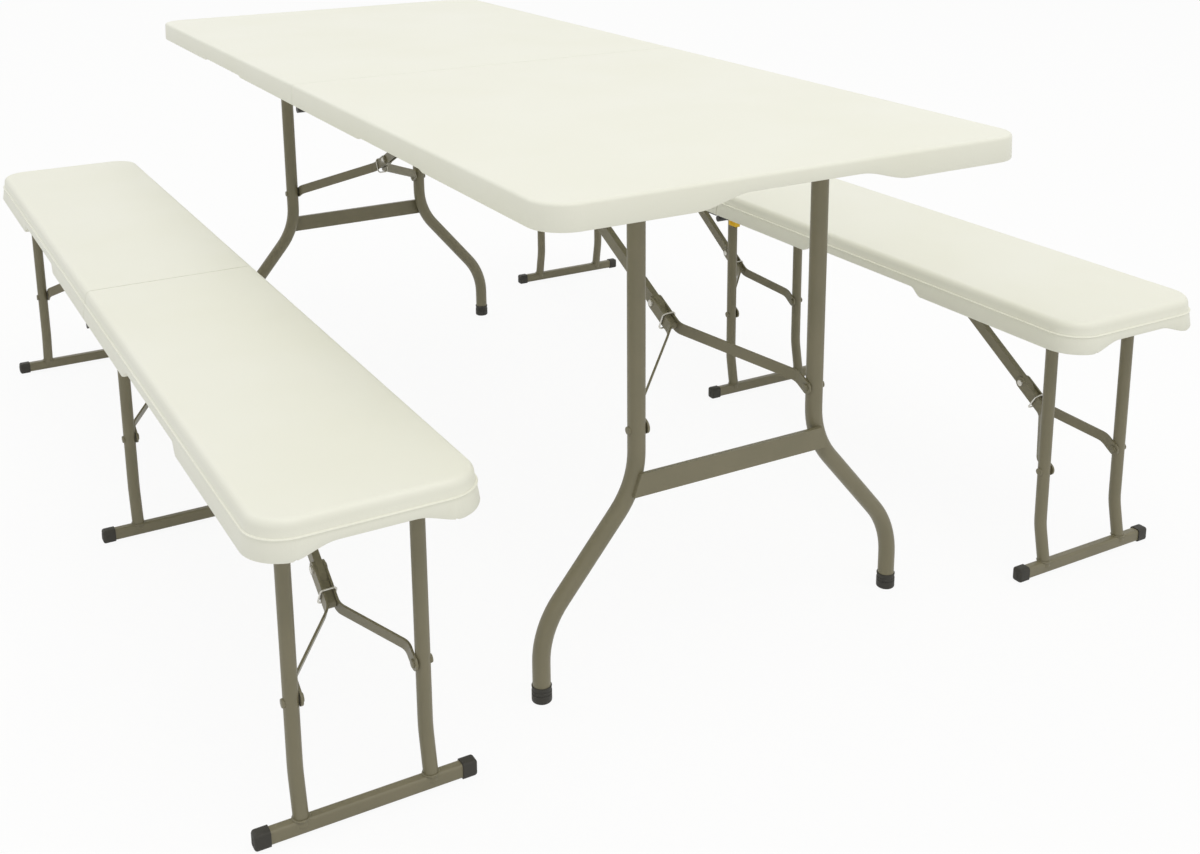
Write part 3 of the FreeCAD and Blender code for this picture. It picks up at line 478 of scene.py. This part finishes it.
# Rivets: a domed head that covers the plain head of the solid
rivet = {"radius": 0.0058, "rise": 0.0023, "skirt": 0.0006, "sides": 28, "round": 0.0018, "roundSteps": 5,
         "crownIn": 0.25, "crownUp": 0.08, "smooth": 50, "armHalf": 0.0015, "hangerScale": 0.8,
         # two small ones on each bench link, above the knee
         "linkAlong": 0.52, "linkOut": 0.005, "linkScale": 0.6}


def modelRivet():
    clearSelection()
    bpy.ops.mesh.primitive_cylinder_add(vertices=rivet["sides"], radius=rivet["radius"],
                                        depth=rivet["rise"] + rivet["skirt"],
                                        location=(0, 0, (rivet["rise"] - rivet["skirt"]) / 2))
    piece = startPiece("rivetMaster")
    bakePlace(piece)
    chooseFaces(piece, lambda centre, normal: normal.z > mostly)
    bpy.ops.mesh.bevel(offset=rivet["round"], segments=rivet["roundSteps"], affect="EDGES")
    chooseFaces(piece, lambda centre, normal: normal.z > fully and centre.z > rivet["rise"] * mostly)
    bpy.ops.mesh.inset(thickness=rivet["radius"] * rivet["crownIn"])
    bpy.ops.transform.translate(value=(0, 0, rivet["rise"] * rivet["crownUp"]))
    bpy.ops.object.mode_set(mode="OBJECT")
    bpy.ops.object.shade_smooth_by_angle(angle=math.radians(rivet["smooth"]))
    return piece


# Where the braces are, in metres: knee plates, leg tubes and brace height of each kind
brace = {
    "table": {"plate": 0.0083, "legHalf": 0.150, "tube": 0.025, "height": 0.362, "armOut": 0.1357,
              "cheek": 0.0078},
    "bench": {"plate": 0.0083, "legHalf": 0.083, "tube": 0.019, "height": 0.168, "armOut": 0.0717,
              "cheek": 0.0078},
}


def placeRivets():
    master = modelRivet()
    count = 0
    for setName, layout in sets.items():
        size = brace[layout["kind"]]
        for unit in layout["units"]:
            legs = setName + "_" + unit
            pivot = Vector(joints[legs + "_leg_fold"]["pos_m"])
            knee = Vector(joints[legs + "_arm_turn"]["pos_m"])
            hang = Vector(joints[legs + "_link_turn"]["pos_m"])
            half = setName + "_" + halfOf[unit] + "_half"
            for side in (-1, 1):
                onArm = Vector((pivot.x, pivot.y + side * (size["armOut"] - rivet["armHalf"]),
                                size["height"]))
                onLeg = Vector((pivot.x, pivot.y + side * (size["legHalf"] + size["tube"] / 2),
                                size["height"]))
                spots = [
                    ("Knee", knee + Vector((0, side * size["plate"], 0)), side, legs + "_arms", 1.0,
                     "zincPlate"),
                    ("Arm", onArm, -side, legs + "_arms", 1.0, "powderCoat"),
                    ("Leg", onLeg, side, legs + "_frame", 1.0, "powderCoat"),
                    ("Hanger", hang + Vector((0, side * size["cheek"], 0)), side, half, rivet["hangerScale"],
                     "zincPlate"),
                ]
                for label, spot, facing, body, scale, finish in spots:
                    name = "rivet" + label + "_" + legs + sideMark(side)
                    copyTo(master, name, towards(spot, (0, facing, 0)) @ Matrix.Scale(scale, 4), body, finish)
                    count += 1
            if layout["kind"] == "bench":
                middle = hang.lerp(knee, rivet["linkAlong"])
                for side in (-1, 1):
                    place = towards(middle + Vector((0, side * rivet["linkOut"], 0)), (0, side, 0))
                    name = "rivetLink_" + legs + sideMark(side)
                    copyTo(master, name, place @ Matrix.Scale(rivet["linkScale"], 4), legs + "_link",
                           "powderCoat")
                    count += 1
    bpy.data.objects.remove(master)
    print("rivets:", count)


placeRivets()

# Lock rings: a closed wire loop round the plates of each brace, just past its knee
lockRing = {"wire": 0.0014, "turn": 0.0055, "halfWide": 0.0103, "halfTall": 0.0150, "seat": 0.037,
            "above": 0.0119, "loopSides": 40, "wireSides": 12}


def modelRing():
    clearSelection()
    bpy.ops.mesh.primitive_torus_add(major_radius=lockRing["turn"], minor_radius=lockRing["wire"],
                                     major_segments=lockRing["loopSides"],
                                     minor_segments=lockRing["wireSides"])
    piece = startPiece("ringMaster")
    # the round loop is drawn out to an upright oblong, a side at a time
    for axis, half in ((0, lockRing["halfWide"]), (1, lockRing["halfTall"])):
        for sign in (-1, 1):
            chooseVerts(piece, lambda co: co[axis] * sign > hair)
            move = [0, 0, 0]
            move[axis] = sign * (half - lockRing["turn"])
            bpy.ops.transform.translate(value=move)
    bpy.ops.object.mode_set(mode="OBJECT")
    bpy.ops.object.shade_smooth()
    return piece


def placeRings():
    master = modelRing()
    for setName, layout in sets.items():
        for unit in layout["units"]:
            legs = setName + "_" + unit
            knee = Vector(joints[legs + "_arm_turn"]["pos_m"])
            along = (knee - Vector(joints[legs + "_link_turn"]["pos_m"])).normalized()
            across = Vector((0, 1 if along.x > 0 else -1, 0))
            upright = along.cross(across)
            spot = knee + along * lockRing["seat"] + upright * (lockRing["above"] - lockRing["halfTall"])
            turn = Matrix((across, upright, along)).transposed().to_4x4()
            ring = copyTo(master, "lockRing_" + legs, Matrix.Translation(spot) @ turn, legs + "_ring",
                          "zincPlate")
            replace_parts(ring, legs + "_ring")
    bpy.data.objects.remove(master)
    print("lock rings placed")


placeRings()

# Rubber caps on the bench foot bars: a rounded end with a raised pad, and a square mouth
footCap = {"deep": 0.018, "high": 0.022, "long": 0.020, "round": 0.0042, "roundSteps": 5,
           "barHalf": 0.143, "kick": 0.013, "padIn": 0.0022, "padOut": 0.0007, "padRound": 0.0005,
           "padSteps": 2, "smooth": 40}


def modelFootCap():
    clearSelection()
    bpy.ops.mesh.primitive_cube_add(size=1, location=(0, -footCap["long"] / 2, footCap["high"] / 2))
    piece = startPiece("footCapMaster")
    piece.scale = (footCap["deep"], footCap["long"], footCap["high"])
    bakePlace(piece)
    chooseFaces(piece, lambda centre, normal: True)
    bpy.ops.mesh.bevel(offset=footCap["round"], segments=footCap["roundSteps"], affect="EDGES")
    chooseFaces(piece, lambda centre, normal: normal.y > fully)
    bpy.ops.mesh.inset(thickness=footCap["padIn"])
    bpy.ops.mesh.extrude_region_move(TRANSFORM_OT_translate={"value": (0, footCap["padOut"], 0)})
    bpy.ops.mesh.bevel(offset=footCap["padRound"], segments=footCap["padSteps"], affect="EDGES")
    # the mouth: the rounded inner end is cut off and drawn out square
    bpy.ops.mesh.select_all(action="SELECT")
    bpy.ops.mesh.bisect(plane_co=(0, -footCap["long"] + footCap["round"], 0), plane_no=(0, 1, 0),
                        clear_inner=True, use_fill=True)
    chooseFaces(piece, lambda centre, normal: normal.y < -mostly)
    bpy.ops.mesh.extrude_region_move(TRANSFORM_OT_translate={"value": (0, -footCap["round"], 0)})
    bpy.ops.object.mode_set(mode="OBJECT")
    bpy.ops.object.shade_smooth_by_angle(angle=math.radians(footCap["smooth"]))
    return piece


def placeFootCaps():
    master = modelFootCap()
    count = 0
    for legs, pivot, facing in legUnits("bench"):
        x = pivot.x + facing * footCap["kick"]
        pair = []
        for side in (-1, 1):
            turn = Matrix.Rotation(0 if side > 0 else math.pi, 4, "Z")
            place = Matrix.Translation((x, pivot.y + side * (footCap["barHalf"] - footCap["padOut"]), 0))
            name = "footCap_" + legs + sideMark(side)
            pair.append(copyTo(master, name, place @ turn, legs + "_frame", "footRubber"))
            count += 1
        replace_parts(pair[0], legs + "_feet")
    bpy.data.objects.remove(master)
    print("foot caps:", count)


placeFootCaps()

# Rubber cups on the table tubes: rounded tread, two grooves and a soft mouth
footCup = {"radius": 0.014, "high": 0.024, "tread": 0.0026, "treadSteps": 5, "mouth": 0.0009, "mouthSteps": 3,
           "footHalf": 0.300, "sides": 48, "grooves": (0.0125, 0.0170), "grooveHalf": 0.0008,
           "grooveDepth": 0.94, "grooveBand": 0.0002, "smooth": 38}


def modelFootCup():
    clearSelection()
    bpy.ops.mesh.primitive_cylinder_add(vertices=footCup["sides"], radius=footCup["radius"],
                                        depth=footCup["high"], location=(0, 0, footCup["high"] / 2))
    piece = startPiece("footCupMaster")
    bakePlace(piece)
    chooseFaces(piece, lambda centre, normal: normal.z < -mostly)
    bpy.ops.mesh.bevel(offset=footCup["tread"], segments=footCup["treadSteps"], affect="EDGES")
    chooseFaces(piece, lambda centre, normal: normal.z > mostly)
    bpy.ops.mesh.bevel(offset=footCup["mouth"], segments=footCup["mouthSteps"], affect="EDGES")
    for level in footCup["grooves"]:
        for step in (-footCup["grooveHalf"], 0.0, footCup["grooveHalf"]):
            bpy.ops.mesh.select_all(action="SELECT")
            bpy.ops.mesh.bisect(plane_co=(0, 0, level + step), plane_no=(0, 0, 1))
    bpy.ops.object.mode_set(mode="OBJECT")
    for vertex in piece.data.vertices:
        vertex.select = any(abs(vertex.co.z - level) < footCup["grooveBand"] for level in footCup["grooves"])
    bpy.ops.object.mode_set(mode="EDIT")
    bpy.ops.mesh.select_mode(type="VERT")
    bpy.ops.transform.resize(value=(footCup["grooveDepth"], footCup["grooveDepth"], 1),
                             center_override=(0, 0, 0))
    bpy.ops.object.mode_set(mode="OBJECT")
    bpy.ops.object.shade_smooth_by_angle(angle=math.radians(footCup["smooth"]))
    return piece


def placeFootCups():
    master = modelFootCup()
    for legs, pivot, _ in legUnits("table"):
        pair = []
        for side in (-1, 1):
            place = Matrix.Translation((pivot.x, pivot.y + side * footCup["footHalf"], 0))
            name = "footCup_" + legs + sideMark(side)
            pair.append(copyTo(master, name, place, legs + "_frame", "footRubber"))
        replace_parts(pair[0], legs + "_feet")
    bpy.data.objects.remove(master)
    print("foot cups placed")


placeFootCups()

# Weld beads: round the bench tubes on their foot bars
weld = {"radius": 0.0098, "bead": 0.0017, "squash": (0.98, 1, 0.8), "rough": 0.00035, "barTop": 0.0205,
        "kick": 0.013, "kickShare": 0.92, "legHalf": 0.083, "loopSides": 40, "beadSides": 8,
        "allWays": 0.4, "outwards": 0.6, "seed": 7}


def placeWelds():
    clearSelection()
    bpy.ops.mesh.primitive_torus_add(major_radius=weld["radius"], minor_radius=weld["bead"],
                                     major_segments=weld["loopSides"], minor_segments=weld["beadSides"])
    master = startPiece("weldMaster")
    bpy.ops.object.mode_set(mode="EDIT")
    bpy.ops.mesh.select_all(action="SELECT")
    bpy.ops.transform.resize(value=weld["squash"], center_override=(0, 0, 0))
    bpy.ops.transform.vertex_random(offset=weld["rough"], uniform=weld["allWays"], normal=weld["outwards"],
                                    seed=weld["seed"])
    bpy.ops.object.mode_set(mode="OBJECT")
    bpy.ops.object.shade_smooth()
    count = 0
    for legs, pivot, facing in legUnits("bench"):
        for side in (-1, 1):
            x = pivot.x + facing * weld["kick"] * weld["kickShare"]
            place = Matrix.Translation((x, pivot.y + side * weld["legHalf"], weld["barTop"]))
            copyTo(master, "weld_" + legs + sideMark(side), place, legs + "_frame", "powderCoat")
            count += 1
    bpy.data.objects.remove(master)
    print("weld beads:", count)


placeWelds()

# Pan-head screws in the hinge leaves, with a cross recess
screw = {"radius": 0.0036, "rise": 0.0020, "sides": 24, "round": 0.0011, "roundSteps": 4, "smooth": 35,
         "inset": (0.0140, 0.0265), "cross": 0.0009, "crossLong": 0.0040, "crossDeep": 0.0011}
hingeLine = {"table": {"half": 0.344, "leafLow": 0.7025}, "bench": {"half": 0.127, "leafLow": 0.3895}}


def modelScrew():
    clearSelection()
    bpy.ops.mesh.primitive_cylinder_add(vertices=screw["sides"], radius=screw["radius"], depth=screw["rise"],
                                        location=(0, 0, screw["rise"] / 2))
    head = startPiece("screwMaster")
    bakePlace(head)
    chooseFaces(head, lambda centre, normal: normal.z > mostly)
    bpy.ops.mesh.bevel(offset=screw["round"], segments=screw["roundSteps"], affect="EDGES")
    bpy.ops.object.mode_set(mode="OBJECT")
    for turn in (0, math.pi / 2):
        clearSelection()
        bpy.ops.mesh.primitive_cube_add(size=1, location=(0, 0, screw["rise"]), rotation=(0, 0, turn))
        blade = startPiece("crossBlade")
        blade.scale = (screw["crossLong"], screw["cross"], screw["crossDeep"] * 2)
        bakePlace(blade)
        recess = head.modifiers.new("recess", "BOOLEAN")
        recess.operation = "DIFFERENCE"
        recess.object = blade
        bpy.ops.object.select_all(action="DESELECT")
        bpy.context.view_layer.objects.active = head
        head.select_set(True)
        bpy.ops.object.modifier_apply(modifier="recess")
        bpy.data.objects.remove(blade)
    bpy.ops.object.shade_smooth_by_angle(angle=math.radians(screw["smooth"]))
    return head


def placeScrews():
    master = modelScrew()
    count = 0
    for setName, layout in sets.items():
        line = hingeLine[layout["kind"]]
        axis = Vector(joints[setName + "_fold"]["pos_m"])
        for half, sign in (("near", 1), ("far", -1)):
            for side in (-1, 1):
                for i, inset in enumerate(screw["inset"]):
                    spot = (axis.x + sign * inset, axis.y + side * line["half"], line["leafLow"])
                    name = "screw_" + setName + "_" + half + sideMark(side) + str(i)
                    copyTo(master, name, towards(spot, (0, 0, -1)), setName + "_" + half + "_half",
                           "zincPlate")
                    count += 1
    bpy.data.objects.remove(master)
    print("screws:", count)


placeScrews()

# Grip on the bench latch: ribs on its outer face
grip = {"ribs": 5, "pitch": 0.0034, "wide": 0.0019, "high": 0.0066, "proud": 0.0011,
        "round": 0.0005, "roundSteps": 3, "smooth": 40}


def placeGrips():
    count = 0
    for setName, facing in (("left", 1), ("right", -1)):
        low, high = [Vector(c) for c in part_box(setName + "_latch")]
        middle = (low + high) / 2
        face = high.y if facing > 0 else low.y
        clearSelection()
        start = middle.x - grip["pitch"] * (grip["ribs"] - 1) / 2
        bpy.ops.mesh.primitive_cube_add(size=1, location=(start, face, middle.z))
        rib = startPiece("latchGrip_" + setName)
        rib.scale = (grip["wide"], grip["proud"] * 2, grip["high"])
        bakePlace(rib)
        chooseFaces(rib, lambda centre, normal: normal.y * facing > mostly)
        bpy.ops.mesh.bevel(offset=grip["round"], segments=grip["roundSteps"], affect="EDGES")
        bpy.ops.object.mode_set(mode="OBJECT")
        row = rib.modifiers.new("row", "ARRAY")
        row.count = grip["ribs"]
        row.use_relative_offset = False
        row.use_constant_offset = True
        row.constant_offset_displace = (grip["pitch"], 0, 0)
        bpy.ops.object.modifier_apply(modifier="row")
        bpy.ops.object.shade_smooth_by_angle(angle=math.radians(grip["smooth"]))
        rib.data.materials.append(finishes["latchYellow"])
        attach(rib, setName + "_latch")
        count += 1
    print("latch grips:", count)


placeGrips()

# Floor, light and camera
stage = {
    "floor": "eeeeeb", "floorSize": 60, "glow": 0.92, "sky": "ffffff", "skyStrength": 0.64,
    "aim": (0, 0, 0.5),
    "lamps": {
        "key": {"place": (4.2, 0.6, 9.0), "size": 8.0, "power": 330.0, "colour": "fffdf8"},
        "fill": {"place": (-4.5, -3.0, 8.5), "size": 8.0, "power": 110.0, "colour": "ffffff"},
    },
}


def seenRays(tree):
    # 1 for rays that show a surface to the eye, straight on or in a reflection, and 0 for rays that light it
    path = addNode(tree, "ShaderNodeLightPath")
    mirrored = addNode(tree, "ShaderNodeMath", {"operation": "MAXIMUM"},
                       {0: path.outputs["Is Glossy Ray"], 1: path.outputs["Is Transmission Ray"]})
    return addNode(tree, "ShaderNodeMath", {"operation": "MAXIMUM"},
                   {0: path.outputs["Is Camera Ray"], 1: mirrored.outputs["Value"]}).outputs["Value"]


def layFloor():
    clearSelection()
    bpy.ops.mesh.primitive_plane_add(size=stage["floorSize"], location=(0, 0, 0))
    floor = startPiece("floor")
    material, tree = newFinish("paleFloor")
    # seen straight on or in a reflection the floor is mostly plain white, and the rest of it takes the shadow
    share = addNode(tree, "ShaderNodeMath", {"operation": "MULTIPLY"}, {0: seenRays(tree)})
    share.inputs[1].default_value = stage["glow"]
    matt = addNode(tree, "ShaderNodeBsdfDiffuse", {"Color": toLinear(stage["floor"])})
    white = addNode(tree, "ShaderNodeEmission", {"Strength": 1.0})
    mix = addNode(tree, "ShaderNodeMixShader", links={"Fac": share.outputs["Value"]})
    tree.links.new(matt.outputs["BSDF"], mix.inputs[1])
    tree.links.new(white.outputs["Emission"], mix.inputs[2])
    addNode(tree, "ShaderNodeOutputMaterial", links={"Surface": mix.outputs["Shader"]})
    floor.data.materials.append(material)


def hangLamps():
    world = bpy.data.worlds.new("softRoom")
    bpy.context.scene.world = world
    world.use_nodes = True
    world.node_tree.nodes.clear()
    level = addNode(world.node_tree, "ShaderNodeMapRange", {"To Min": stage["skyStrength"], "To Max": 1.0},
                    {"Value": seenRays(world.node_tree)})
    sky = addNode(world.node_tree, "ShaderNodeBackground", {"Color": toLinear(stage["sky"])},
                  {"Strength": level.outputs["Result"]})
    addNode(world.node_tree, "ShaderNodeOutputWorld", links={"Surface": sky.outputs["Background"]})
    for name, lamp in stage["lamps"].items():
        bpy.ops.object.light_add(type="AREA", location=lamp["place"])
        light = bpy.context.object
        light.name = name + "Light"
        light.data.size = lamp["size"]
        light.data.energy = lamp["power"]
        light.data.color = toLinear(lamp["colour"])[:3]
        aim = Vector(stage["aim"]) - Vector(lamp["place"])
        light.rotation_euler = aim.to_track_quat("-Z", "Y").to_euler()
    bpy.context.scene.view_settings.view_transform = "Standard"


# Camera fitted to the photograph: place in metres, heading, tilt and roll in degrees, focal length and
# the optical axis in pixels of the 1200 x 854 frame
view = {"place": (2.2992, -1.1109, 1.1661), "heading": 150.9596, "tilt": -13.5013, "roll": -0.5547,
        "focal": 1452.13, "axisPixel": (584.31, 163.76), "frame": (1200, 854), "sensor": 36.0,
        "farthest": 200}


def setCamera():
    bpy.ops.object.camera_add()
    camera = bpy.context.object
    camera.name = "photoCamera"
    heading = Matrix.Rotation(math.radians(view["heading"] - 90), 4, "Z")
    tilt = Matrix.Rotation(math.radians(90 + view["tilt"]), 4, "X")
    roll = Matrix.Rotation(math.radians(view["roll"]), 4, "Z")
    camera.matrix_world = Matrix.Translation(view["place"]) @ (heading @ tilt @ roll)
    width, height = view["frame"]
    camera.data.sensor_fit = "HORIZONTAL"
    camera.data.sensor_width = view["sensor"]
    camera.data.lens = view["focal"] / width * view["sensor"]
    camera.data.shift_x = (width / 2 - view["axisPixel"][0]) / width
    camera.data.shift_y = (view["axisPixel"][1] - height / 2) / width
    camera.data.clip_end = view["farthest"]
    bpy.context.scene.camera = camera


layFloor()
hangLamps()
setCamera()
print("stage and camera set")
